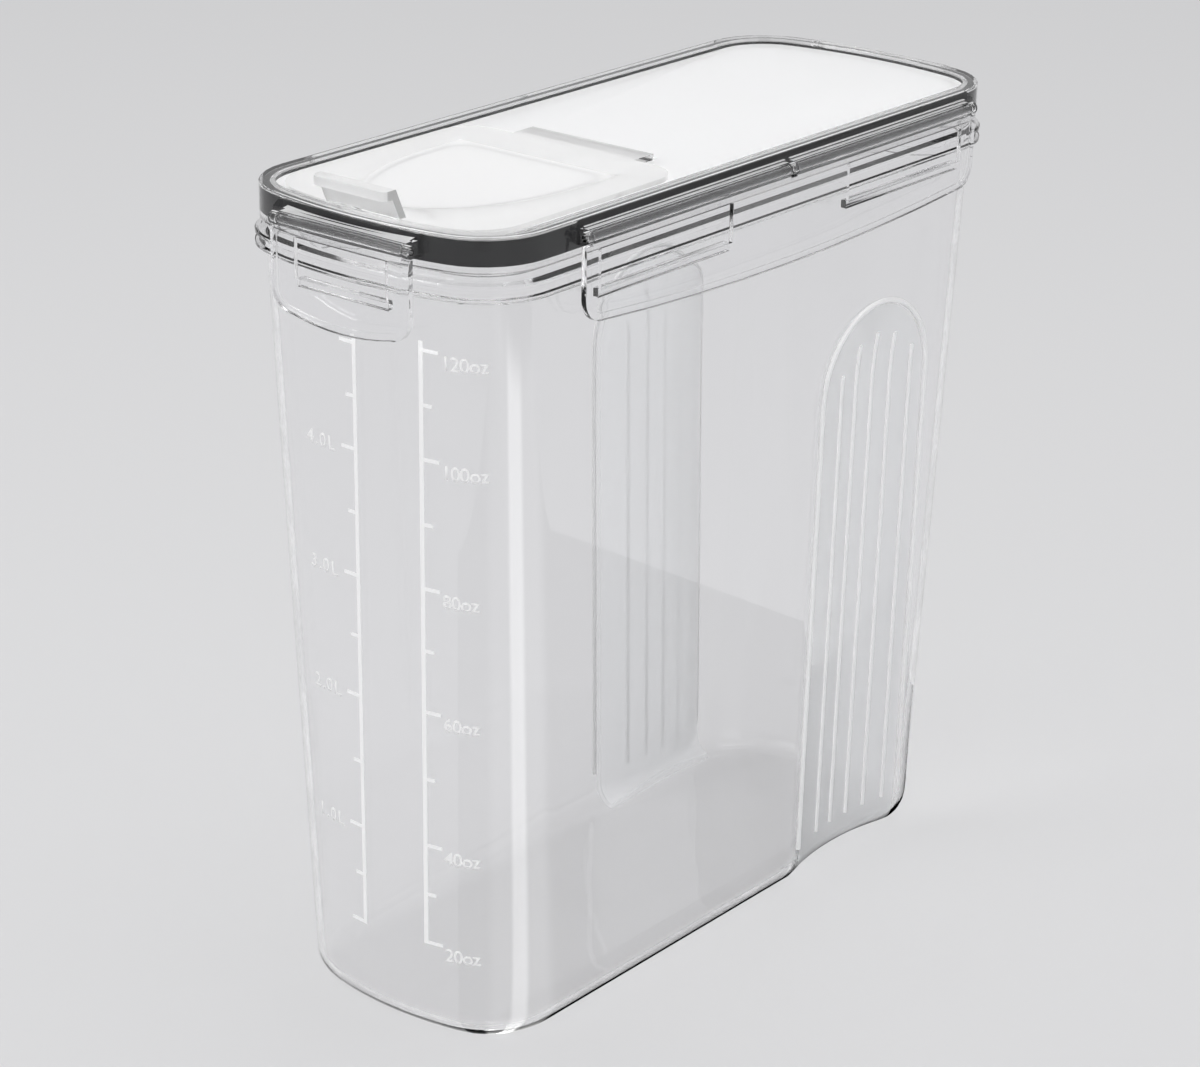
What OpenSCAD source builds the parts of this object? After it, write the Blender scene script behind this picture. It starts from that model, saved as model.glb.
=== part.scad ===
/* [Tub] */
// Length of the base, front to back
base_l = 217.6; // [200:0.2:224]
// Width of the base
base_w = 81.6; // [74:0.2:84]
// Corner radius of the base, in plan
base_corner_r = 24; // [18:0.5:26]
// Radius of the bowed ends of the base
base_end_r = 100; // [90:1:160]
// Height of the tub's rim
tub_h = 232; // [210:1:250]
// Thickness of the tub's walls
wall_t = 2; // [1.6:0.1:2.2]
// Thickness of the tub's floor
floor_t = 2.4; // [1.8:0.1:3.5]
// Rounding between the base and the walls
base_round = 8; // [5:0.5:10]
// How far the catch flange's underside lies below the rim
flange_drop = 11.5; // [10.5:0.1:13]
// Height of the catch flange
flange_h = 4.8; // [3.5:0.1:5]
// How far the flange stands out past the lid
flange_out = 1.3; // [1:0.1:1.8]

/* [Hand grips] */
// Middle of each grip, behind the middle of the tub
grip_y = 59.3; // [50:0.5:62]
// Half the width of each grip
grip_half = 27; // [20:0.5:28]
// Depth of the scoop
grip_depth = 4; // [2.5:0.1:4.5]
// Height at which the grip's arch springs
grip_spring_z = 155; // [120:1:165]

/* [Lid] */
// Length of the lid, front to back
lid_l = 238; // [232:1:246]
// Width of the lid
lid_w = 93; // [90:1:98]
// Corner radius of the lid, in plan
lid_corner_r = 21; // [17:0.5:24]
// Radius of the bowed ends of the lid
lid_end_r = 144; // [120:1:200]
// Thickness of the rim and skirt
lid_wall = 1.3; // [1.1:0.1:1.5]
// Thickness of the sunk panel
panel_t = 1.6; // [1.2:0.1:2]
// How far the panel lies below the rim
panel_drop = 1.8; // [1.4:0.1:2.2]
// Width of the rim's top
rim_w = 4.2; // [3.8:0.1:5]
// Height of the skirt below the rim's top
skirt_h = 9.8; // [8:0.1:11]
// How far the plug wall reaches below the tub's rim
plug_depth = 6; // [3:0.5:9]

/* [Gasket] */
// Height of the gasket's foot
gasket_foot_h = 2.2; // [1.6:0.1:3]
// Thickness of the gasket's upright leg
gasket_leg_t = 1.4; // [1:0.1:1.5]
// How far the gasket's lip hangs down between the skirt and the tub's neck
gasket_lip_h = 2.4; // [1:0.1:3]
// Gap between the gasket and the tub's rim
gasket_gap = 0.2; // [0.1:0.05:0.3]

/* [Latches] */
// Width of the end latches
end_latch_w = 48.5; // [40:0.5:54]
// Width of the side latches
side_latch_w = 179; // [150:1:180]
// How far the side latches sit behind the middle
side_latch_y = 6; // [0:0.5:6]
// Height from the hinge to the latch's lower edge
latch_h = 26.7; // [22:0.1:32]
// Thickness of a latch
latch_t = 1.8; // [1.4:0.1:2.2]
// Corner radius at the foot of a latch
latch_corner_r = 7; // [4:0.5:9]
// How far an end latch's lower edge bows down
end_latch_bow = 2; // [0:0.1:3]
// How far a side latch's lower edge bows down
side_latch_bow = 3.5; // [0:0.1:5]
// Width of the slot in an end latch
end_slot_w = 32; // [24:1:36]
// Width of each slot in a side latch
side_slot_w = 56; // [40:1:60]
// Distance between the middles of a side latch's slots
side_slot_gap = 110; // [104:1:112]
// Height of the slots
slot_h = 11; // [8:0.1:12]
// Height of the catch bar
catch_h = 2.4; // [1.6:0.1:3]
// How far the catch bar reaches under the flange
catch_reach = 1.4; // [1:0.1:1.6]
// Free play between the catch bar and the flange
catch_play = 2.1; // [1.9:0.1:2.6]
// Width of the border round a latch
latch_border = 2.2; // [1.5:0.1:3]
// Outer radius of the hinge barrels
barrel_r = 1.75; // [1.6:0.05:2]
// Radius of the latch pins
latch_pin_r = 0.9; // [0.7:0.05:1]
// Height of the latch hinges below the rim's top
hinge_drop = 4.8; // [4.4:0.1:5.4]
// Width of the ears that hold the latch pins
ear_w = 2.2; // [1.6:0.1:3]

/* [Spout] */
// Half the width of the pour opening
spout_half_w = 28; // [22:0.5:29]
// Length of the rounded front of the pour opening
spout_nose = 48; // [36:1:50]
// Length of the straight back of the pour opening
spout_straight = 14; // [12:1:18]
// Distance from the lid's front to the pour opening
spout_inset = 13; // [12:0.5:18]
// Depth of the collar round the pour opening
collar_h = 3.6; // [2.5:0.1:6]
// Thickness of the collar and of the flap's plug
collar_t = 1.4; // [1:0.1:1.8]
// Thickness of the ring seal
seal_t = 1.15; // [0.8:0.05:1.4]
// Height of the ring seal
seal_h = 1.8; // [1.2:0.1:2.4]

/* [Flap] */
// Half the width of the flap
flap_half_w = 38.5; // [34:0.5:40]
// Thickness of the flap
flap_t = 1.4; // [1:0.1:1.6]
// Distance from the lid's front to the back of the flap's shoulders
flap_shoulder = 90; // [84:1:94]
// Radius of the flap's back corners
flap_corner_r = 10; // [6:0.5:14]
// Width of the flap's hinge lug
lug_w = 43; // [34:1:50]
// Distance from the flap's shoulders to its hinge
flap_hinge_back = 6.8; // [6:0.1:9]
// Height of the flap's hinge below the rim's top
flap_hinge_drop = 2.8; // [2.6:0.1:3]
// Radius of the flap's hinge pin
flap_pin_r = 0.8; // [0.6:0.05:0.9]
// Width of the lift tab
tab_w = 25.8; // [18:0.2:32]
// Height of the lift tab above the rim
tab_h = 8; // [5:0.5:11]
// How far the lift tab leans forward
tab_lean = 3.8; // [2:0.1:5]
// Thickness of the lift tab
tab_t = 2; // [1.3:0.1:2.2]
// Height of the lip along the top of the lift tab
tab_lip_h = 2.5; // [1.5:0.1:3]
// Depth of the lip, from the back of the tab to its front
tab_lip_l = 4.3; // [3.6:0.1:5]

/* [Printed scales] */
// Distance of the litre scale from the middle, at mid height
litre_x = -3.1; // [-8:0.1:-2]
// Distance of the ounce scale from the middle, at mid height
ounce_x = 18.8; // [14:0.1:20]
// How far each scale leans to the right over its height
print_lean = 6.4; // [0:0.1:8]
// Height of the litre scale's lowest mark
litre_z0 = 29; // [24:0.5:40]
// Height of the ounce scale's lowest mark
ounce_z0 = 30; // [24:0.5:40]
// Distance of the litre scale's highest mark below the rim
litre_drop = 29; // [24:0.5:50]
// Distance of the ounce scale's highest mark below the rim
ounce_drop = 26.5; // [24:0.5:50]
// Length of the line above its highest mark
line_over = 2.5; // [0:0.1:4]
// Width of a printed line
line_w = 1.3; // [0.6:0.1:1.6]
// Width of a tick
tick_w = 1; // [0.5:0.1:1.4]
// Thickness of the ink
ink_t = 0.15; // [0.1:0.01:0.2]
// Length of a long tick
tick_long = 4.6; // [3:0.1:6]
// Length of a short tick
tick_short = 2.6; // [1.5:0.1:3]

/* [Fits] */
// Radial clearance of a pin in its hole
pin_gap = 0.05; // [0.02:0.01:0.08]
// Clearance between parts that slide or swing past each other
run_gap = 0.3; // [0.2:0.05:0.4]
// Clearance between a latch and the flange
latch_gap = 0.5; // [0.3:0.1:0.8]
// Clearance between pieces of the lid that are fitted together
fit_gap = 0.2; // [0.1:0.05:0.3]

/* [Hidden] */
$fn = 48;
eps = 0.01;
// How far a cut is run past what it goes through
past = 0.5;
tub_clear = [0.88, 0.92, 0.95, 0.35];
lid_clear = [0.93, 0.95, 0.97, 0.45];
latch_clear = [0.8, 0.86, 0.9, 0.5];
flap_clear = [0.78, 0.88, 0.95, 0.6];

// Levels, from the base up
flange_z = tub_h - flange_drop;
flange_top = flange_z + flange_h;
panel_z = tub_h + gasket_gap + gasket_foot_h + fit_gap;
panel_top = panel_z + panel_t;
lid_top = panel_top + panel_drop;
skirt_z = lid_top - skirt_h;
hinge_z = lid_top - hinge_drop;
catch_top = flange_z - catch_play;

// Plan offsets from the lid's outline; minus is inwards
wall_gap = 0.3;
neck_gap = 0.8;
plug_gap = 1.3;
gasket_side = 0.1;
tub_inset = lid_wall + wall_gap;
neck_inset = lid_wall + neck_gap;
neck_in = neck_inset + wall_t;
plug_in = neck_in + plug_gap;
step_t = 1.2;
hinge_out = flange_out + latch_gap + latch_t / 3;

// Sampling of the curved outline
corner_n = 7;
end_n = 6;
grip_n = 11;
// How far the ink lies clear of the wall
ink_gap = 0.05;

function mix(a, b, t) = a + (b - a) * t;

// One quarter of the outline: a bowed end, tangent to a round corner, tangent to a straight side.
// a and b are its half width and half length, r its corner radius and e its end radius.
function corner_c(a, b, r, e) = [a - r, b - e + sqrt((e - r) * (e - r) - (a - r) * (a - r))];
function quarter(a, b, r, e) = let (c = corner_c(a, b, r, e), t1 = atan2(c[1] - (b - e), a - r)) concat(
  [for (i = [0:corner_n]) let (t = t1 * i / corner_n) [c[0] + r * cos(t), c[1] + r * sin(t)]],
  [for (i = [1:end_n]) let (t = mix(t1, 90, i / end_n)) [e * cos(t), b - e + e * sin(t)]]);
function flip(p, sx, sy) = [for (q = p) [q[0] * sx, q[1] * sy]];
function reverse(p) = [for (i = [len(p) - 1:-1:0]) p[i]];
function without_last(p) = [for (i = [0:len(p) - 2]) p[i]];

// The whole outline, anticlockwise from the right side's back end; side lists extra points on a straight side
function outline(a, b, r, e, side = []) = let (q = quarter(a, b, r, e), y = q[0][1]) concat(
  [for (s = side) [a, s * y]], without_last(q), reverse(flip(q, -1, 1)),
  [for (s = reverse(side)) [-a, s * y]], without_last(flip(q, -1, -1)), reverse(flip(q, 1, -1)));
function lid_outline(o, side = []) =
  outline(lid_w / 2 + o, lid_l / 2 + o, lid_corner_r + o, lid_end_r + o, side);

module slab(points, z0, z1) translate([0, 0, z0]) linear_extrude(z1 - z0) polygon(points);
module band(outer, inner, z0, z1) translate([0, 0, z0]) linear_extrude(z1 - z0) difference() {
  polygon(outer);
  polygon(inner);
}

// ---- Tub ----

// Shares of the straight side at which the walls are sampled, close together over the grips
side_shares = concat([-0.5, 0], [for (i = [0:grip_n]) mix(0.26, 0.97, i / grip_n)]);

// How far the wall is scooped in at a point of the side
function scoop(y, z) =
  let (u = (y - grip_y) / grip_half, v = max(z - grip_spring_z, 0) / grip_half, s = u * u + v * v)
  s < 1 ? grip_depth * (1 - s) : 0;

// Half width, half length, corner radius and end radius of the tub at a height
function tub_size(z) = let (s = min(z / flange_z, 1)) [
  mix(base_w / 2, lid_w / 2 - tub_inset, s), mix(base_l / 2, lid_l / 2 - tub_inset, s),
  mix(base_corner_r, lid_corner_r - tub_inset, s), mix(base_end_r, lid_end_r - tub_inset, s)];
function tub_ring(z, o) = let (t = tub_size(z)) [
  for (p = outline(t[0] + o, t[1] + o, t[2] + o, t[3] + o, side_shares))
    [p[0] - sign(p[0]) * (abs(p[0]) > t[0] / 2 ? scoop(p[1], z) : 0), p[1], z]];
function neck_ring(z, o) = [for (p = lid_outline(o, side_shares)) [p[0], p[1], z]];

wall_levels = concat([mix(base_round, grip_spring_z, 1 / 3), mix(base_round, grip_spring_z, 2 / 3)],
  [for (i = [0:6]) grip_spring_z + grip_half * sin(15 * i)]);
inner_round = base_round - wall_t;
lip = 0.4;
tub_rings = concat(
  [for (t = [90:-22.5:0]) tub_ring(base_round * (1 - sin(t)), -base_round * (1 - cos(t)))],
  [for (z = wall_levels) tub_ring(z, 0)],
  [tub_ring(flange_z, 0), neck_ring(flange_z, flange_out - lip), neck_ring(flange_z + lip, flange_out),
    neck_ring(flange_top - lip, flange_out), neck_ring(flange_top, flange_out - lip),
    neck_ring(flange_top, -neck_inset), neck_ring(tub_h - lip, -neck_inset),
    neck_ring(tub_h, -neck_inset - lip), neck_ring(tub_h, -neck_in + lip),
    neck_ring(tub_h - lip, -neck_in), neck_ring(flange_z, -neck_in)],
  [for (z = reverse(wall_levels)) tub_ring(z, -wall_t)],
  [for (t = [0:30:90]) tub_ring(floor_t + inner_round * (1 - sin(t)), -wall_t - inner_round * (1 - cos(t)))]);

// A solid through a list of rings, closed at the first and last ring
module loft(rings) {
  n = len(rings[0]);
  m = len(rings);
  polyhedron(points = [for (r = rings) for (p = r) p], convexity = 12, faces = concat(
    [[for (i = [0:n - 1]) i]], [[for (i = [n - 1:-1:0]) (m - 1) * n + i]],
    [for (k = [0:m - 2]) for (i = [0:n - 1]) let (j = (i + 1) % n) each
      [[k * n + i, (k + 1) * n + i, (k + 1) * n + j], [k * n + i, (k + 1) * n + j, k * n + j]]]));
}

module tub() color(tub_clear) loft(tub_rings);

// ---- Printed scales, on the front wall ----

function front_wall(x, z) = let (t = tub_size(z)) -(t[1] - t[3] + sqrt(t[3] * t[3] - x * x));
function print_x(x, z) = x + print_lean * (z / flange_z - 0.5);

// Where the long marks lie, as shares of a scale's height; the short ones lie halfway between them
mark_shares = [0, 0.175, 0.408, 0.616, 0.827, 1];

// A thin bar of ink that follows the wall, between two heights and two distances from the middle
module ink(x0, x1, z0, z1) {
  n = 6;
  stations = [for (i = [0:n]) mix(z0, z1, i / n)];
  rings = [for (z = stations) let (a = print_x(x0, z), b = print_x(x1, z)) [
    [a, front_wall(a, z) - ink_gap, z], [b, front_wall(b, z) - ink_gap, z],
    [b, front_wall(b, z) - ink_gap - ink_t, z], [a, front_wall(a, z) - ink_gap - ink_t, z]]];
  loft(rings);
}

module tick(x, side, z, length) {
  near = x + side * (line_w / 2 + eps);
  far = x + side * (line_w / 2 + length);
  ink(min(near, far), max(near, far), z - tick_w / 2, z + tick_w / 2);
}

module scale_print(x, side, z0, z1) {
  ink(x - line_w / 2, x + line_w / 2, z0 - tick_w / 2, z1 + line_over);
  for (s = mark_shares) tick(x, side, mix(z0, z1, s), tick_long);
  for (i = [1:len(mark_shares) - 1])
    tick(x, side, mix(z0, z1, (mark_shares[i - 1] + mark_shares[i]) / 2), tick_short);
}

module litre_scale() color("white") scale_print(litre_x, -1, litre_z0, tub_h - litre_drop);
module ounce_scale() color("white") scale_print(ounce_x, 1, ounce_z0, tub_h - ounce_drop);

// ---- Lid ----

// The outline of the pour opening, grown by o
spout_y = -lid_l / 2 + spout_inset + spout_nose;
spout_corner_r = 8;
function spout_outline(o) = let (w = spout_half_w + o, back = spout_y + spout_straight + o,
  r = spout_corner_r + o) concat(
  [for (i = [0:6]) let (t = 15 * i) [w - r + r * cos(t), back - r + r * sin(t)]],
  [for (i = [6:-1:0]) let (t = 15 * i) [-w + r - r * cos(t), back - r + r * sin(t)]],
  [for (i = [0:18]) let (t = 180 + 10 * i) [w * cos(t), spout_y + (spout_nose + o) * sin(t)]]);

hinge_y = -lid_l / 2 + flap_shoulder + flap_hinge_back;
flap_hinge_z = lid_top - flap_hinge_drop;
flap_z = panel_top + fit_gap;
lug_swing = norm([barrel_r, flap_z + flap_t - flap_hinge_z]) + run_gap;
pocket_w = lug_w + 2 * run_gap;
pocket_floor = 1.2;
pocket_wall = 2.4;
pocket_r = lug_swing + pocket_floor;
bore_stop = 0.5;
flap_bore_l = pocket_w + 2 * (pocket_wall - bore_stop);
collar_z = panel_z - collar_h;

module along_x(r, length) rotate([0, 90, 0]) cylinder(r = r, h = length, center = true);
module at_flap_hinge() translate([0, hinge_y, flap_hinge_z]) children();

// Places its children at each latch hinge: local -Y points outwards and local X runs along the pin
module at_front() translate([0, -lid_l / 2 - hinge_out, hinge_z]) children();
module at_back() rotate(180) at_front() children();
module at_right() translate([lid_w / 2 + hinge_out, side_latch_y, hinge_z]) rotate(90) children();
module at_left() translate([-lid_w / 2 - hinge_out, side_latch_y, hinge_z]) rotate(-90) children();

// The bracket above a latch, with the ears that carry its pin
hood_gap = 0.25;
hood_reach = 6.5;
hood_edge = 0.2;
hood_lip = 1;
hood_rise = 1.6;
hood_slope_drop = 0.4;

// Reach of the notches that clear the ears
ear_notch = barrel_r + run_gap;
function ear_places(w, mid_ear) = concat([ear_w / 2 - w / 2, w / 2 - ear_w / 2], mid_ear ? [0] : []);

module bracket(w, mid_ear) {
  hood_z = barrel_r + hood_gap;
  translate([-w / 2, 0, 0]) rotate([90, 0, 90]) linear_extrude(w) polygon([[hood_reach, hood_z],
    [hood_edge, hood_z], [hood_edge, hood_z + hood_lip], [hinge_out, hinge_drop - hood_slope_drop],
    [hood_reach, hood_z + hood_rise]]);
  for (x = ear_places(w, mid_ear)) translate([x, 0, 0]) rotate([90, 0, 90])
    linear_extrude(ear_w, center = true) {
      circle(barrel_r);
      translate([0, -barrel_r]) square([hood_reach, 2 * barrel_r]);
      translate([hood_edge, 0]) square([hood_reach - hood_edge, hood_z + eps]);
    }
}
module bracket_bore(w) along_x(latch_pin_r + pin_gap, w + 2 * past);

module lid() color(lid_clear) difference() {
  union() {
    // Rim, step and sunk panel
    band(lid_outline(-lip), lid_outline(-rim_w), lid_top - lip, lid_top);
    band(lid_outline(0), lid_outline(-rim_w), lid_top - lid_wall, lid_top - lip);
    band(lid_outline(0), lid_outline(-lid_wall), skirt_z, lid_top - lid_wall);
    band(lid_outline(-rim_w + step_t), lid_outline(-rim_w), panel_z, lid_top - lid_wall);
    slab(lid_outline(-rim_w + step_t), panel_z, panel_top);
    // Plug wall inside the tub's neck
    band(lid_outline(-plug_in), lid_outline(-plug_in - collar_t), tub_h - plug_depth, panel_z);
    // Collar round the pour opening and the pocket for the flap's hinge
    slab(spout_outline(collar_t), collar_z, panel_z);
    translate([-pocket_w / 2 - pocket_wall, hinge_y - pocket_r, flap_hinge_z - pocket_r])
      cube([pocket_w + 2 * pocket_wall, 2 * pocket_r, panel_z + eps - (flap_hinge_z - pocket_r)]);
    difference() {
      union() {
        at_front() bracket(end_latch_w, false);
        at_back() bracket(end_latch_w, false);
        at_left() bracket(side_latch_w, true);
        at_right() bracket(side_latch_w, true);
      }
      slab(lid_outline(-lid_wall / 2), skirt_z - past, lid_top + past);
    }
  }
  slab(spout_outline(0), collar_z - past, panel_top + past);
  at_flap_hinge() along_x(lug_swing, pocket_w);
  at_flap_hinge() along_x(flap_pin_r + pin_gap, flap_bore_l);
  at_front() bracket_bore(end_latch_w);
  at_back() bracket_bore(end_latch_w);
  at_left() bracket_bore(side_latch_w);
  at_right() bracket_bore(side_latch_w);
}

module lid_gasket() color("dimgray") {
  outer = lid_wall + gasket_side;
  foot_z = tub_h + gasket_gap;
  leg_z = panel_z - fit_gap;
  band(lid_outline(-outer), lid_outline(gasket_gap - neck_inset), foot_z - gasket_lip_h, foot_z);
  band(lid_outline(-outer), lid_outline(gasket_side - plug_in), foot_z, leg_z);
  band(lid_outline(-outer), lid_outline(-outer - gasket_leg_t), leg_z, lid_top - lid_wall - gasket_side);
}

module flap_pin() color("white") at_flap_hinge() along_x(flap_pin_r, flap_bore_l - 2 * fit_gap);

// ---- Spout flap ----

flap_front = 1.5;
module flap_shape() {
  a = flap_half_w;
  b = lid_l / 2 - rim_w - flap_front;
  r = lid_corner_r - rim_w - flap_front;
  back = -lid_l / 2 + flap_shoulder;
  front = [for (p = outline(a, b, r, lid_end_r - rim_w - flap_front)) if (p[1] < -lid_l / 4) p];
  corner = [for (i = [0:6]) let (t = 15 * i)
    [a - flap_corner_r * (1 - cos(t)), back - flap_corner_r * (1 - sin(t))]];
  polygon(concat(front, corner, reverse(flip(corner, -1, 1))));
}

// A plate that leans forward, with a lip along its top whose front corners are round
tab_root = 2.5;
tab_corner_r = 2.2;
module lift_tab() {
  rise = lid_top + tab_h - flap_z - flap_t;
  lean = tab_lean / rise;
  front = tab_t * norm([1, lean]);
  sunk = flap_t / 2;
  lip_y = -tab_lean - tab_lip_l;
  translate([0, -lid_l / 2 + rim_w + flap_front + tab_root, flap_z + flap_t]) intersection() {
    rotate([90, 0, 90]) linear_extrude(tab_w, center = true) polygon([
      [lean * sunk, -sunk], [-tab_lean, rise], [lip_y, rise], [lip_y, rise - tab_lip_h],
      [-lean * (rise - tab_lip_h) - front, rise - tab_lip_h], [lean * sunk - front, -sunk]]);
    translate([0, 0, -flap_t]) linear_extrude(rise + 2 * flap_t) {
      for (x = [-1, 1]) translate([x * (tab_w / 2 - tab_corner_r), lip_y + tab_corner_r])
        circle(tab_corner_r);
      translate([tab_corner_r - tab_w / 2, lip_y]) square([tab_w - 2 * tab_corner_r, tab_corner_r]);
      translate([-tab_w / 2, lip_y + tab_corner_r]) square([tab_w, flap_t - tab_corner_r - lip_y]);
    }
  }
}

lug_root = 2 * flap_hinge_back;
plug_short = 0.8;
module spout_flap() color(flap_clear) difference() {
  union() {
    translate([0, 0, flap_z]) linear_extrude(flap_t) flap_shape();
    translate([-lug_w / 2, hinge_y - lug_root, flap_z]) cube([lug_w, lug_root + barrel_r, flap_t]);
    at_flap_hinge() along_x(barrel_r, lug_w);
    band(spout_outline(-run_gap - seal_t), spout_outline(-run_gap - seal_t - collar_t),
      collar_z + plug_short, flap_z + eps);
    lift_tab();
  }
  at_flap_hinge() along_x(flap_pin_r + pin_gap, lug_w + 2 * past);
}

module spout_seal() color("gainsboro")
  band(spout_outline(-run_gap), spout_outline(-run_gap - seal_t), panel_z - seal_h, panel_z);

// ---- Latches ----

// Outline of a latch plate below its hinge, in the plane of the plate
function latch_outline(w, bow, o) = let (a = w / 2 + o, h = latch_h - bow, r = latch_corner_r + o) concat(
  [[a, 0]], [for (i = [0:6]) let (t = -15 * i) [a - r + r * cos(t), -h - o + r + r * sin(t)]],
  [for (i = [1:7]) let (x = mix(a - r, r - a, i / 8), s = x / (a - r)) [x, -h - o - bow * (1 - s * s)]],
  [for (i = [6:-1:0]) let (t = -15 * i) [-a + r - r * cos(t), -h - o + r + r * sin(t)]], [[-a, 0]]);

panel_sink = 0.4;
sink_below_barrel = 1.5;
module latch(w, bow, slots, slot_w, mid_ear) color(latch_clear) {
  outer_y = -latch_t * 2 / 3;
  inner_y = latch_t / 3;
  slot_z = catch_top - hinge_z;
  bar_in = inner_y + latch_gap + catch_reach;
  difference() {
    union() {
      along_x(barrel_r, w);
      translate([0, inner_y, 0]) rotate([90, 0, 0]) linear_extrude(latch_t) polygon(latch_outline(w, bow, 0));
      for (x = slots) translate([x - slot_w / 2, inner_y - eps, slot_z - catch_h])
        cube([slot_w, bar_in - inner_y + eps, catch_h]);
    }
    translate([0, outer_y + panel_sink, 0]) rotate([90, 0, 0]) linear_extrude(2 * panel_sink) intersection() {
      polygon(latch_outline(w, bow, -latch_border));
      translate([-w / 2, -latch_h]) square([w, latch_h - barrel_r - sink_below_barrel]);
    }
    for (x = slots) translate([x - slot_w / 2, outer_y - past, slot_z])
      cube([slot_w, latch_t + 2 * past, slot_h]);
    along_x(latch_pin_r + pin_gap, w + 2 * past);
    for (x = ear_places(w, mid_ear)) translate([x - ear_w / 2 - run_gap, -ear_notch, -ear_notch])
      cube([ear_w + 2 * run_gap, 2 * ear_notch, 2 * ear_notch]);
  }
}
module end_latch() latch(end_latch_w, end_latch_bow, [0], end_slot_w, false);
module side_latch()
  latch(side_latch_w, side_latch_bow, [-side_slot_gap / 2, side_slot_gap / 2], side_slot_w, true);
module latch_pin(w) color("whitesmoke") along_x(latch_pin_r, w - 2 * run_gap);

module latch_front() at_front() end_latch();
module latch_back() at_back() end_latch();
module latch_left() at_left() side_latch();
module latch_right() at_right() side_latch();
module pin_front() at_front() latch_pin(end_latch_w);
module pin_back() at_back() latch_pin(end_latch_w);
module pin_left() at_left() latch_pin(side_latch_w);
module pin_right() at_right() latch_pin(side_latch_w);

tub();
litre_scale();
ounce_scale();
lid();
lid_gasket();
flap_pin();
spout_flap();
spout_seal();
latch_front();
latch_back();
latch_left();
latch_right();
pin_front();
pin_back();
pin_left();
pin_right();
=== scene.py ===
"""A clear food keeper with a flip spout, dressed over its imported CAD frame. Metres, +Z up, front at -Y."""
from math import asin, atan2, cos, pi, radians, sin, sqrt

import bmesh
import bpy
from mathutils import Matrix, Vector


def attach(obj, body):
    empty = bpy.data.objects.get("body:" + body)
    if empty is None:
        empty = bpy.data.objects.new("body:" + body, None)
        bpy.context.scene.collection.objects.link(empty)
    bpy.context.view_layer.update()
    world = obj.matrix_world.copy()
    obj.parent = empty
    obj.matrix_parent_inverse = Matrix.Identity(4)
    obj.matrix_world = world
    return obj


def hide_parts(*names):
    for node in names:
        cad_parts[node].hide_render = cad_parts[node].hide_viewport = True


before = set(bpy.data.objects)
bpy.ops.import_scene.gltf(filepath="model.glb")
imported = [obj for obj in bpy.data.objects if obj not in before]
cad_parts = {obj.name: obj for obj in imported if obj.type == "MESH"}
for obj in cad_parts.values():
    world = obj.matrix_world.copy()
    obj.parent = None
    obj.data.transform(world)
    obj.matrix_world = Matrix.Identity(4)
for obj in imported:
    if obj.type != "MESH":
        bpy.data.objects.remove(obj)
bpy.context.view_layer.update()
MM = 0.001

# ---- Sizes, in millimetres, as the construction has them ----

BASE_L, BASE_W, BASE_CORNER, BASE_END = 217.6, 81.6, 24, 100
TUB_H, WALL, FLOOR, BASE_ROUND = 232, 2, 2.4, 8
FLANGE_DROP, FLANGE_H, FLANGE_OUT = 11.5, 4.8, 1.3
LID_L, LID_W, LID_CORNER, LID_END, LID_WALL = 238, 93, 21, 144, 1.3
TUB_INSET, NECK_INSET = LID_WALL + 0.3, LID_WALL + 0.8
GRIP_Y, GRIP_HALF, GRIP_DEPTH, GRIP_SPRING = 59.3, 27, 4, 155
FLANGE_Z = TUB_H - FLANGE_DROP
FLANGE_TOP = FLANGE_Z + FLANGE_H
LIP = 0.4
LID = (LID_W / 2, LID_L / 2, LID_CORNER, LID_END)
RIB, GROOVE, GROOVE_SLOPE = 1.2, 1.0, 0.2
SPOUT_HALF, SPOUT_NOSE, SPOUT_Y, SPOUT_BACK_Y = 28, 48, -58, -44
PANEL_HALF_W, PANEL_HALF_L, PANEL_Z, RIM_UNDER_Z = 40, 112, 234.0, 236.3
TAB_FOOT_Z, TAB_HALF = 237.9, 12.9
PRINT_LEAN, NUMBER_H, INK_T, INK_CLEAR = 6.4, 5.6, 0.08, 0.12
MERGE = 0.002

# ---- Finishes that several pieces share ----

CLEAR_TINT = (0.985, 0.985, 0.988)
# Pale tone of the frosted grips, and of the painted highlight on the lid and flap
PALE = (0.97, 0.972, 0.975, 1)
PLASTIC_IOR, THIN_IOR, TUB_IOR, CLEAR_COAT = 1.46, 1.2, 1.25, 0.6

# ---- Shader maths ----


class Val:
    """A socket that can be added, multiplied and compared."""

    def __init__(self, graph, socket):
        self.graph, self.socket = graph, socket

    def _op(self, operation, *others):
        return self.graph.node("ShaderNodeMath", {"operation": operation}, *others)

    def __add__(self, o): return self._op("ADD", self, o)
    def __radd__(self, o): return self._op("ADD", o, self)
    def __sub__(self, o): return self._op("SUBTRACT", self, o)
    def __rsub__(self, o): return self._op("SUBTRACT", o, self)
    def __mul__(self, o): return self._op("MULTIPLY", self, o)
    def __rmul__(self, o): return self._op("MULTIPLY", o, self)
    def __truediv__(self, o): return self._op("DIVIDE", self, o)
    def abs(self): return self._op("ABSOLUTE", self)
    def max(self, o): return self._op("MAXIMUM", self, o)
    def step(self, lo, hi, first=0.0, last=1.0):
        """The value first below lo and last above hi, smooth between."""
        smooth = {"interpolation_type": "SMOOTHSTEP"}
        return self.graph.node("ShaderNodeMapRange", smooth, self, lo, hi, first, last)


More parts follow.
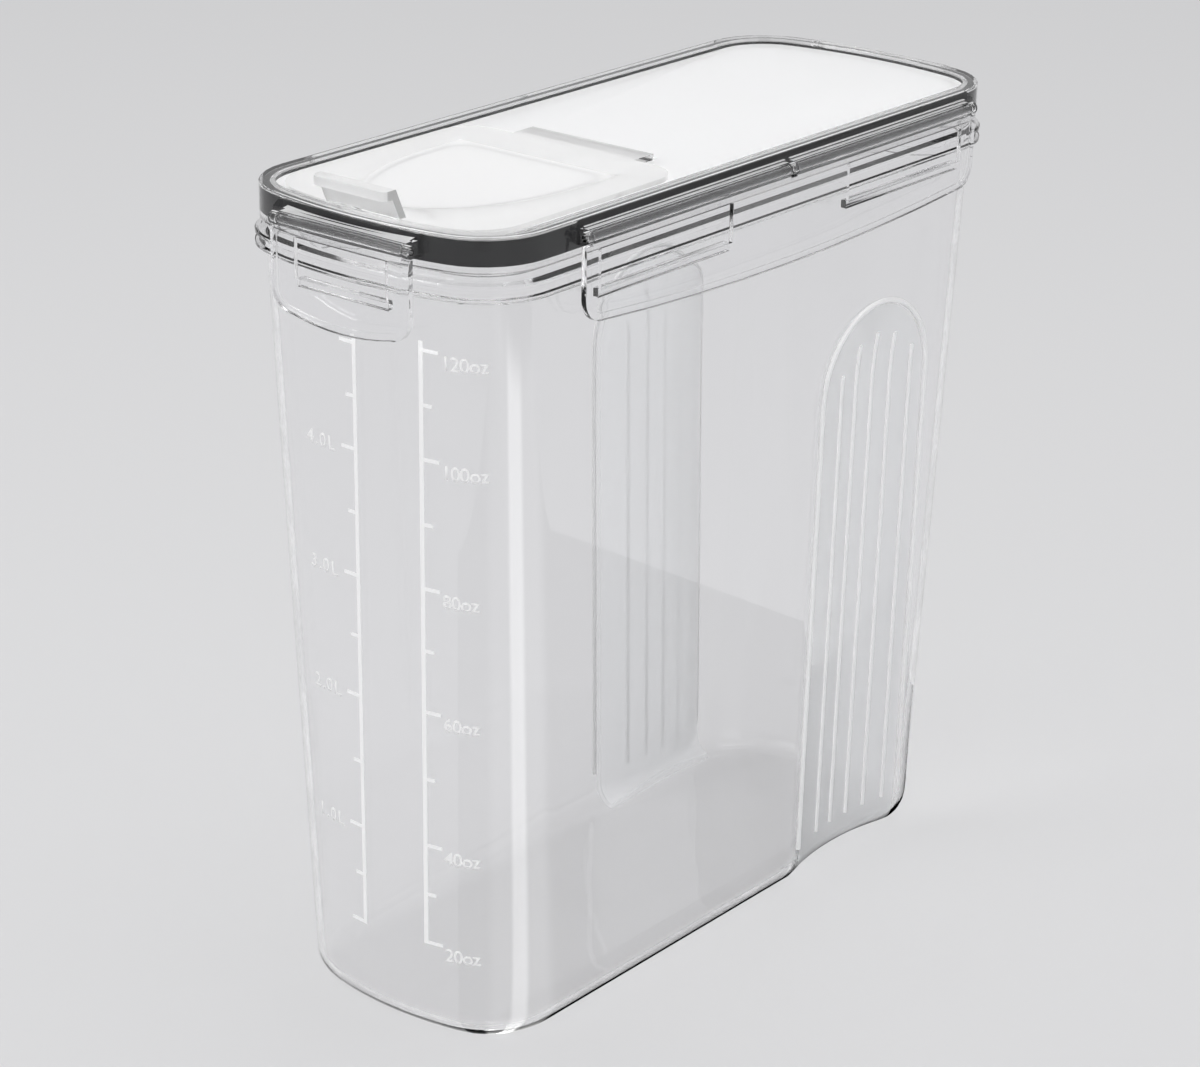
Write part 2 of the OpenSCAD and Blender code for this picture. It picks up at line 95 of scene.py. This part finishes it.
class Graph:
    """A node tree that starts with its output node alone."""

    def __init__(self, tree, output):
        self.tree = tree
        tree.nodes.clear()
        self.surface = tree.nodes.new(output).inputs["Surface"]

    def link(self, value, socket):
        self.tree.links.new(value.socket, socket)

    def node(self, kind, settings, *values, out=0, **named):
        """A node of a type, its settings first, then the values or links of its sockets."""
        n = self.tree.nodes.new(kind)
        for key, value in settings.items():
            setattr(n, key, value)
        for socket, value in [*zip(n.inputs, values), *((n.inputs[k], v) for k, v in named.items())]:
            if isinstance(value, Val):
                self.link(value, socket)
            elif value is not None:
                socket.default_value = value
        return Val(self, n.outputs[out])

    def seen_or_lit(self, seen, lit):
        """Shows seen to camera, glossy and transmitted rays, and lights the object with lit."""
        camera, glossy, transmitted = (self.node("ShaderNodeLightPath", {}, out=f"Is {ray} Ray")
                                       for ray in ("Camera", "Glossy", "Transmission"))
        shows = camera.max(glossy).max(transmitted)
        self.link(self.node("ShaderNodeMixShader", {}, shows, lit, seen), self.surface)


class Finish(Graph):
    """A node material; values that are the same all over sit on the shader's own sockets."""

    def __init__(self, name, **fixed):
        self.mat = bpy.data.materials.new(name)
        self.mat.use_nodes = True
        super().__init__(self.mat.node_tree, "ShaderNodeOutputMaterial")
        self.shader = self.principled(**fixed)
        self.link(self.shader, self.surface)
        self.coords = self.node("ShaderNodeTexCoord", {}, out="Object")

    def principled(self, **fixed):
        """A Principled shader with the named sockets set."""
        sockets = {key.replace("_", " ").title().replace("Ior", "IOR"): value for key, value in fixed.items()}
        return self.node("ShaderNodeBsdfPrincipled", {}, **sockets)

    def axes(self):
        """x, y and z of the surface point, in millimetres."""
        split = self.node("ShaderNodeSeparateXYZ", {}, self.coords).socket.node
        return [Val(self, axis) * 1000.0 for axis in split.outputs]

    def noise(self, scale, detail=3.0):
        return self.node("ShaderNodeTexNoise", {}, Vector=self.coords, Scale=scale, Detail=detail)

    def feed(self, name, value, shader=None):
        """Links a value to a socket of the shader."""
        self.link(value, (shader or self.shader).socket.node.inputs[name])

    def bump(self, height, strength, distance, shader=None):
        bumped = self.node("ShaderNodeBump", {}, Height=height, Strength=strength, Distance=distance)
        self.feed("Normal", bumped, shader)

    def cover(self, shader, amount):
        """Mixes a second shader over the first, as far as amount says."""
        self.link(self.node("ShaderNodeMixShader", {}, amount, self.shader, shader), self.surface)


def clear_plastic(name, ripple, ior=THIN_IOR, coat=CLEAR_COAT, tint=CLEAR_TINT):
    """Polished clear plastic: faint flow ripple and a trace of handling haze."""
    f = Finish(name, base_color=(*tint, 1), transmission_weight=1.0, ior=ior, coat_weight=coat,
               coat_roughness=0.03)
    haze = f.noise(60.0)
    f.feed("Roughness", haze.step(0.45, 0.8) * 0.05 + 0.015)
    f.bump(f.noise(22.0, 1.0), ripple, 0.0002)
    return f


def tub_plastic():
    """Clear walls whose hand grips are frosted."""
    f = clear_plastic("clear_tub_plastic", 0.08, TUB_IOR, tint=(0.985, 0.984, 0.988))
    x, y, z = f.axes()
    frosted_half = GRIP_HALF - 1.5
    across = (y - GRIP_Y) / frosted_half
    above = (z - GRIP_SPRING).max(0.0) / frosted_half
    inside = 1.0 - (across * across + above * above).step(0.94, 1.0)
    outer = x.abs().step(33.0, 34.5)
    frosted = f.principled(base_color=(0.93, 0.94, 0.95, 1), transmission_weight=0.75, ior=PLASTIC_IOR)
    grain = f.noise(900.0, 2.0)
    f.feed("Roughness", grain * 0.15 + 0.3, frosted)
    f.bump(grain, 0.3, 0.0001, frosted)
    f.cover(frosted, inside * outer * 0.55)
    return f.mat


def levelness(f):
    """1 where a face lies level, 0 where it leans or stands."""
    normal = f.node("ShaderNodeTexCoord", {}, out="Normal")
    return f.node("ShaderNodeSeparateXYZ", {}, normal, out=2).abs()


def painted_highlight(f, amount, shade=None):
    """Lays a painted highlight, a pale glare, over clear plastic, as far as amount says."""
    highlight_shader = f.principled(base_color=PALE, transmission_weight=0.2, ior=PLASTIC_IOR, roughness=0.28)
    if shade:
        f.feed("Base Color", shade, highlight_shader)
    f.cover(highlight_shader, amount)


def lid_plastic():
    """The sunk panel carries a painted highlight, a pale glare; the rim, skirt and hoods are clear; the
    leaning edges round the opening are greyed as painted shade.
    """
    f = clear_plastic("clear_lid_plastic", 0.04)
    x, y, z = f.axes()
    level = levelness(f)
    # Painted shade: faces that lean or stand inside the rim, above the panel, are greyed by up to a fifth
    inner = ((1.0 - x.abs().step(PANEL_HALF_W, PANEL_HALF_W + 1))
             * (1.0 - y.abs().step(PANEL_HALF_L, PANEL_HALF_L + 1)))
    f.feed("Base Color", 0.985 - (1.0 - level.step(0.2, 0.5)) * inner * z.step(PANEL_Z, PANEL_Z + 0.5) * 0.2)
    # Painted highlight: the level faces of the sunk panel, below the rim, get a pale glare
    below_rim = 1.0 - z.step(RIM_UNDER_Z, RIM_UNDER_Z + 0.2)
    painted_highlight(f, level.step(0.93, 0.99) * z.step(PANEL_Z, PANEL_Z + 0.3) * below_rim * 0.85)
    return f.mat


def flap_plastic():
    """The plate has a painted highlight, a light grey glare, whiter over the pour opening; the tab is
    whitened by it too, with its ends greyed as painted shade; faces that lean or stand are greyed as painted
    shade.
    """
    f = clear_plastic("clear_flap_plastic", 0.04, PLASTIC_IOR, 0.0)
    x, y, z = f.axes()
    level = levelness(f)
    ahead = (SPOUT_Y - y).max(0.0) / SPOUT_NOSE
    across = x / SPOUT_HALF
    ahead_of_back = 1.0 - y.step(SPOUT_BACK_Y - 0.5, SPOUT_BACK_Y)
    opening = (1.0 - (across * across + ahead * ahead).step(0.94, 1.0)) * ahead_of_back
    above = z.step(PANEL_Z, PANEL_Z + 0.5)
    tab = z.step(TAB_FOOT_Z, TAB_FOOT_Z + 0.4)
    ends = tab * x.abs().step(TAB_HALF - 0.3, TAB_HALF - 0.05)
    # Painted shade: faces that lean or stand above the panel, off the tab, are greyed
    f.feed("Base Color", 0.985 - (1.0 - level.step(0.2, 0.5)) * above * (1.0 - tab) * 0.2)
    # Painted highlight over the level plate and the tab; painted shade greys the tab's ends
    plate = level.step(0.93, 0.99) * above * (0.5 + 0.35 * opening)
    painted_highlight(f, plate.max(tab * 0.8), 0.9 + 0.075 * opening - 0.45 * ends)
    return f.mat


def silicone(name, colour, transmission=0.0):
    """Matt rubber with a fine grain."""
    f = Finish(name, base_color=(*colour, 1), transmission_weight=transmission, specular_ior_level=0.4)
    grain = f.noise(700.0)
    f.feed("Roughness", grain * 0.18 + 0.38)
    f.bump(grain, 0.15, 0.0001)
    return f.mat


def ink():
    """Matt white print."""
    f = Finish("white_print_ink", base_color=(0.94, 0.94, 0.94, 1))
    grain = f.noise(1500.0)
    f.feed("Roughness", grain * 0.2 + 0.4)
    f.bump(grain, 0.1, 0.00003)
    return f.mat


TUB_CLEAR = tub_plastic()
LID_CLEAR = lid_plastic()
FLAP_CLEAR = flap_plastic()
LATCH_CLEAR = clear_plastic("clear_latch_plastic", 0.04).mat
PIN_CLEAR = clear_plastic("clear_pin_plastic", 0.02).mat
GASKET_DARK = silicone("dark_gasket_silicone", (0.008, 0.008, 0.009))
SEAL_PALE = silicone("pale_seal_silicone", (0.86, 0.87, 0.88), 0.5)
INK = ink()
LIGHT_PASSES = (TUB_CLEAR, LID_CLEAR, FLAP_CLEAR, LATCH_CLEAR, PIN_CLEAR)

# ---- Building pieces ----


def placed(name, data):
    """An object in the scene, at the origin."""
    obj = bpy.data.objects.new(name, data)
    bpy.context.scene.collection.objects.link(obj)
    return obj


def mesh_of(bm, name):
    """The bmesh as a mesh; the bmesh is done with."""
    mesh = bpy.data.meshes.new(name)
    bm.to_mesh(mesh)
    bm.free()
    return mesh


def finished(bm, name, material, smooth_angle=40):
    """Makes the mesh a piece at the origin, smooth up to an angle."""
    mesh = mesh_of(bm, name)
    obj = placed(name, mesh)
    mesh.materials.append(material)
    mesh.shade_smooth()
    mesh.set_sharp_from_angle(angle=radians(smooth_angle))
    obj.visible_shadow = material not in LIGHT_PASSES
    return obj


def soften(obj, bevel):
    """The soft edges that moulding gives."""
    m = obj.modifiers.new("soft_edges", "BEVEL")
    m.width, m.segments, m.limit_method, m.angle_limit = bevel * MM, 2, "ANGLE", radians(40)
    m.use_clamp_overlap = True
    m.harden_normals = True


def press_out(bm, distance):
    """Moves the upright faces that look away from the middle outwards, against what surrounds them."""
    bm.normal_update()
    for v in bm.verts:
        away = [f.normal for f in v.link_faces if abs(f.normal.z) < 0.3
                and f.normal.x * v.co.x / LID_W + f.normal.y * v.co.y / LID_L > 0]
        if away:
            v.co += sum(away, Vector()).normalized() * distance * MM


def belongs(obj, body, node=None):
    """Says which body carries the piece and which CAD solid it stands for, and hides that solid."""
    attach(obj, body)
    if node:
        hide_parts(node)


def polished(node, name, material, body, bevel=0.25, pressed=0.0):
    """A CAD solid's copy, merged, with softened edges, standing for the solid."""
    bm = bmesh.new()
    bm.from_mesh(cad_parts[node].data)
    bmesh.ops.remove_doubles(bm, verts=bm.verts, dist=MERGE * MM)
    bmesh.ops.dissolve_limit(bm, verts=bm.verts, edges=bm.edges, angle_limit=radians(0.5))
    if pressed:
        press_out(bm, pressed)
    obj = finished(bm, name, material)
    soften(obj, bevel)
    belongs(obj, body, node)


def mix(a, b, t):
    """The number at the share t of the way from a to b."""
    return a + (b - a) * t


def tub_size(z):
    """Half width, half length, corner radius and end radius of the tub's outline at a height."""
    s = min(z / FLANGE_Z, 1)
    return (mix(BASE_W / 2, LID_W / 2 - TUB_INSET, s), mix(BASE_L / 2, LID_L / 2 - TUB_INSET, s),
            mix(BASE_CORNER, LID_CORNER - TUB_INSET, s), mix(BASE_END, LID_END - TUB_INSET, s))


def ring(bm, size, offset, z, side_cuts=42, corner_steps=12, end_steps=14):
    """One closed outline: a quarter swept along its side and two arcs, then mirrored twice."""
    a, b, r, e = (v + offset for v in size)
    cx, cy = a - r, b - e + sqrt((e - r) ** 2 - (a - r) ** 2)
    turn = atan2(cy - (b - e), cx)
    known = set(bm.verts) | set(bm.edges)
    tip = bm.verts.new((a, 0, z))

    def sweep(steps, move):
        nonlocal tip
        for _ in range(steps):
            made = bmesh.ops.extrude_vert_indiv(bm, verts=[tip])
            tip = made["verts"][0]
            move([tip])

    def arc(centre, angle, steps):
        step = Matrix.Rotation(angle / steps, 3, "Z")
        sweep(steps, lambda verts: bmesh.ops.rotate(bm, verts=verts, cent=centre, matrix=step))

    sweep(side_cuts, lambda verts: bmesh.ops.translate(bm, verts=verts, vec=(0, cy / side_cuts, 0)))
    arc((cx, cy, z), turn, corner_steps)
    arc((0, b - e, z), pi / 2 - turn, end_steps)
    for axis in "XY":
        ours = [g for g in (*bm.verts, *bm.edges) if g not in known]
        bmesh.ops.mirror(bm, geom=ours, axis=axis, merge_dist=0.0005)
    return [edge for edge in bm.edges if edge not in known]


def scoop(y, z):
    """How deep the hand grip goes into a long wall."""
    u, v = (y - GRIP_Y) / GRIP_HALF, max(z - GRIP_SPRING, 0) / GRIP_HALF
    s = u * u + v * v
    return GRIP_DEPTH * (1 - s) if s < 1 else 0


def make_tub():
    """The walls, flange and neck as one closed shell, lofted through its outlines."""
    bm = bmesh.new()
    quarter = [radians(t) for t in (90, 75, 60, 45, 30, 15, 0)]
    levels = [mix(BASE_ROUND, GRIP_SPRING - 2, t / 14) for t in range(1, 15)]
    levels += [GRIP_SPRING + GRIP_HALF * sin(radians(5 * i)) for i in range(19)]
    levels += [195, 208]
    inner = BASE_ROUND - WALL

    def rounded(radius, t, offset, foot):
        z = foot + radius * (1 - sin(t))
        return tub_size(z), offset - radius * (1 - cos(t)), z

    profile = [rounded(BASE_ROUND, t, 0, 0) for t in quarter]
    profile += [(tub_size(z), 0, z) for z in (*levels, FLANGE_Z)]
    profile += [(LID, o, z) for o, z in (
        (FLANGE_OUT - LIP, FLANGE_Z), (FLANGE_OUT, FLANGE_Z + LIP), (FLANGE_OUT, FLANGE_Z + RIB),
        (FLANGE_OUT - GROOVE, FLANGE_Z + RIB + GROOVE_SLOPE),
        (FLANGE_OUT - GROOVE, FLANGE_TOP - RIB - GROOVE_SLOPE),
        (FLANGE_OUT, FLANGE_TOP - RIB), (FLANGE_OUT, FLANGE_TOP - LIP),
        (FLANGE_OUT - LIP, FLANGE_TOP), (-NECK_INSET, FLANGE_TOP), (-NECK_INSET, TUB_H - LIP),
        (-NECK_INSET - LIP, TUB_H), (-NECK_INSET - WALL + LIP, TUB_H), (-NECK_INSET - WALL, TUB_H - LIP),
        (-NECK_INSET - WALL, FLANGE_Z))]
    profile += [(tub_size(z), -WALL, z) for z in reversed(levels)]
    profile += [rounded(inner, t, -WALL, FLOOR) for t in reversed(quarter)]
    loops = [ring(bm, *p) for p in profile]
    bmesh.ops.contextual_create(bm, geom=loops[0])
    bmesh.ops.contextual_create(bm, geom=loops[-1])
    for below, above in zip(loops, loops[1:]):
        bmesh.ops.bridge_loops(bm, edges=below + above)
    for v in bm.verts:
        if abs(v.co.x) > BASE_W / 4 and v.co.z < FLANGE_Z:
            v.co.x -= (1 if v.co.x > 0 else -1) * scoop(v.co.y, v.co.z)
    bmesh.ops.recalc_face_normals(bm, faces=bm.faces)
    bmesh.ops.scale(bm, vec=(MM,) * 3, verts=bm.verts)
    belongs(finished(bm, "tub_shell", TUB_CLEAR, 35), "container", "tub")


def wall_point(s, z, out):
    """The front wall's point at a distance s along it from the middle, out millimetres clear of it."""
    a, b, r, e = tub_size(z)
    end = asin((a - r) / (e - r))
    side, s = (1 if s >= 0 else -1), abs(s)
    if s < e * end:
        t, radius, cx, cy = s / e, e, 0, -(b - e)
    else:
        t, radius, cx, cy = end + (s - e * end) / r, r, (e - r) * sin(end), -(b - e) - (e - r) * cos(end)
    return side * (cx + (radius + out) * sin(t)), cy - (radius + out) * cos(t), z


def label(words, s, z, spacing):
    """Graduation numbers, printed on the wall: flat lettering laid round it."""
    curve = bpy.data.curves.new("label", "FONT")
    curve.body, curve.size, curve.align_x, curve.align_y = words, NUMBER_H, "LEFT", "CENTER"
    curve.offset, curve.space_character = 0.05, spacing
    obj = placed("label", curve)
    mesh = bpy.data.meshes.new_from_object(obj)
    bpy.data.objects.remove(obj)
    bm = bmesh.new()
    bm.from_mesh(mesh)
    for v in bm.verts:
        v.co = Vector(wall_point(s + v.co.x, z + v.co.y, INK_CLEAR)) * MM
    return bm


def make_labels():
    """Litre and ounce numbers beside their long marks, as the two scales have them."""
    shares = (0, 0.175, 0.408, 0.616, 0.827, 1)
    for name, low, high, s, drop, spacing, texts in (
            ("litre_numbers", 29, TUB_H - 29, -22.4, 0.8, 1.2, {i: f"{i}.0L" for i in (1, 2, 3, 4)}),
            ("ounce_numbers", 30, TUB_H - 26.5, 24.8, 2.7, 0.92, {i: f"{20 * (i + 1)}oz" for i in range(6)})):
        whole = bmesh.new()
        for i, words in texts.items():
            z = mix(low, high, shares[i])
            leaned = s + PRINT_LEAN * (z / FLANGE_Z - 0.5)
            whole.from_mesh(mesh_of(label(words, leaned, z - drop, spacing), "part"))
        obj = finished(whole, name, INK)
        obj.modifiers.new("ink_thickness", "SOLIDIFY").thickness = INK_T * MM
        belongs(obj, "container")


def wire(name, paths, radius, material):
    """Round beads along paths, made a mesh."""
    curve = bpy.data.curves.new(name, "CURVE")
    curve.dimensions, curve.bevel_depth, curve.bevel_resolution = "3D", radius * MM, 3
    curve.use_fill_caps = True
    for path in paths:
        spline = curve.splines.new("POLY")
        spline.points.add(len(path) - 1)
        for point, co in zip(spline.points, path):
            point.co = (co[0] * MM, co[1] * MM, co[2] * MM, 1)
    source = placed(name, curve)
    bm = bmesh.new()
    bm.from_mesh(bpy.data.meshes.new_from_object(source))
    bpy.data.objects.remove(source)
    bmesh.ops.remove_doubles(bm, verts=bm.verts, dist=MERGE * MM)
    bmesh.ops.recalc_face_normals(bm, faces=bm.faces)
    return finished(bm, name, material, 60)


def side_point(y, z, side):
    """The point of a long wall, in its scoop, at a place along it and a height."""
    return side * (tub_size(z)[0] - scoop(y, z)), y, z


def make_grips():
    """The bead round each hand grip and the ribs inside it."""
    frost = Finish("frosted_grip_plastic", base_color=PALE, transmission_weight=0.15, ior=PLASTIC_IOR)
    grain = frost.noise(900.0, 2.0)
    frost.feed("Roughness", grain * 0.15 + 0.25)
    frost.bump(grain, 0.06, 0.0001)
    foot, edge = 12, GRIP_HALF - 0.8
    first_rib, rib_pitch = GRIP_Y - GRIP_HALF + 14, 8.3
    tops = (161, 168.5, 170.5, 168.5, 163)
    arch = [(GRIP_Y - edge, mix(foot, GRIP_SPRING, i / 20)) for i in range(20)]
    arch += [(GRIP_Y - edge * cos(pi * i / 28), GRIP_SPRING + edge * sin(pi * i / 28)) for i in range(29)]
    arch += [(GRIP_Y + edge, mix(GRIP_SPRING, foot, i / 20)) for i in range(1, 21)]
    ribs = [[(first_rib + rib_pitch * k, mix(foot, top, i / 24)) for i in range(25)]
            for k, top in enumerate(tops)]
    for side, word in ((1, "right"), (-1, "left")):
        for part, paths, radius in (("bead", [arch], 0.85), ("ribs", ribs, 0.65)):
            on_wall = [[side_point(y, z, side) for y, z in path] for path in paths]
            belongs(wire(f"grip_{part}_{word}", on_wall, radius, frost.mat), "container")


def keep(node, material):
    """A CAD solid that stays, in its finish."""
    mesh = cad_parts[node].data
    mesh.materials.clear()
    mesh.materials.append(material)


make_tub()
make_labels()
make_grips()
for node in ("litre_scale", "ounce_scale"):
    keep(node, INK)
polished("lid", "lid_shell", LID_CLEAR, "lid", 0.2)
polished("lid_gasket", "gasket_ring", GASKET_DARK, "lid", 0.15, 0.2)
polished("spout_flap", "flap_plate", FLAP_CLEAR, "flap", 0.25)
polished("spout_seal", "seal_ring", SEAL_PALE, "flap", 0.15)
keep("flap_pin", PIN_CLEAR)
for place in ("front", "back", "left", "right"):
    polished(f"latch_{place}", f"latch_plate_{place}", LATCH_CLEAR, f"{place}_latch", 0.25)
    keep(f"pin_{place}", PIN_CLEAR)

# ---- Studio ----


def level_sheet(name, half, centre, material):
    """A square that lies level and is part of the studio."""
    bm = bmesh.new()
    bmesh.ops.create_grid(bm, x_segments=1, y_segments=1, size=half)
    bmesh.ops.translate(bm, verts=bm.verts, vec=centre)
    mesh = mesh_of(bm, name)
    mesh.materials.append(material)
    sheet = placed(name, mesh)
    return sheet


def corner_card():
    """A pale fan beside the front corner, met only by glossy rays, whose reflection runs down that corner."""
    f = Finish("card_light")
    x, y = f.axes()[:2]
    along = (x - 25.0).max(1.0)
    spread = ((y + 97.0 + (x - 84.0) * 0.0526) / along).abs()
    strength = (1.0 - spread.step(0.12, 0.26)) * 3.5 + (1.0 - spread.step(0.6, 1.2)) * 0.9
    glow = f.node("ShaderNodeEmission", {}, Strength=strength * (1.0 - x.step(480.0, 560.0)))
    f.link(glow, f.surface)
    card = level_sheet("corner_card", 0.3, (0.325, -0.108, 0), f.mat)
    for ray in ("camera", "diffuse", "transmission", "shadow"):
        setattr(card, f"visible_{ray}", False)


def studio_floor():
    """Pale paper under the object, which keeps its shadow."""
    paper = Finish("studio_paper", base_color=(0.8, 0.8, 0.81, 1), roughness=0.9)
    grey = paper.principled(base_color=(0.4, 0.4, 0.405, 1), roughness=0.9, specular_ior_level=0.0)
    glow = paper.node("ShaderNodeEmission", {}, (0.3, 0.3, 0.303, 1))
    paper.seen_or_lit(paper.node("ShaderNodeAddShader", {}, grey, glow), paper.shader)
    level_sheet("studio_floor", 12, (0, 0, -0.3 * MM), paper.mat)


def studio_air():
    """What is seen round the object is palest level with it; what lights the object is even."""
    world = bpy.data.worlds.new("studio_air")
    bpy.context.scene.world = world
    world.use_nodes = True
    air = Graph(world.node_tree, "ShaderNodeOutputWorld")
    direction = air.node("ShaderNodeTexCoord", {}, out="Generated")
    height = air.node("ShaderNodeSeparateXYZ", {}, direction, out=2)
    seen = air.node("ShaderNodeBackground", {}, (0.6, 0.6, 0.605, 1), height.step(0.02, 0.5, 1.0, 0.42))
    lit = air.node("ShaderNodeBackground", {}, (0.62, 0.62, 0.625, 1))
    air.seen_or_lit(seen, lit)


def lamps():
    """Three soft boxes that look at the object's middle."""
    for name, place, size, power in (
            ("key_softbox", (-0.7, -1.1, 1.3), (0.7, 0.9), 8),
            ("fill_softbox", (1.2, -0.5, 0.8), (0.8, 1.0), 3),
            ("top_softbox", (0.1, 0.4, 1.7), (1.0, 1.0), 7)):
        lamp = bpy.data.lights.new(name, "AREA")
        lamp.shape, lamp.size, lamp.size_y, lamp.energy = "RECTANGLE", size[0], size[1], power
        obj = placed(name, lamp)
        obj.location = place
        obj.rotation_euler = (Vector((0, 0, 0.12)) - Vector(place)).to_track_quat("-Z", "Y").to_euler()


# ---- Camera, as fitted to the photograph ----

AZIMUTH, ELEVATION, ROLL = radians(38.95), radians(21.71), radians(0.83)
DISTANCE, TARGET, FOCAL = 0.9998, Vector((-0.01179, 0, 0.11166)), 3375 / 1200 * 36


def camera():
    """Looks along the fitted direction, rolled as the photograph is."""
    forward = -Vector((sin(AZIMUTH) * cos(ELEVATION), -cos(AZIMUTH) * cos(ELEVATION), sin(ELEVATION)))
    right = forward.cross(Vector((0, 0, 1))).normalized()
    up = right.cross(forward)
    level_right = right * cos(ROLL) + up * sin(ROLL)
    level_up = -right * sin(ROLL) + up * cos(ROLL)
    lens = bpy.data.cameras.new("photo_view")
    lens.lens, lens.sensor_width, lens.sensor_fit = FOCAL, 36, "HORIZONTAL"
    obj = placed("photo_view", lens)
    turn = Matrix((level_right, level_up, -forward)).transposed().to_4x4()
    obj.matrix_world = Matrix.Translation(TARGET - forward * DISTANCE) @ turn
    bpy.context.scene.camera = obj


bpy.context.scene.view_settings.view_transform = "Standard"
studio_floor()
studio_air()
lamps()
corner_card()
camera()
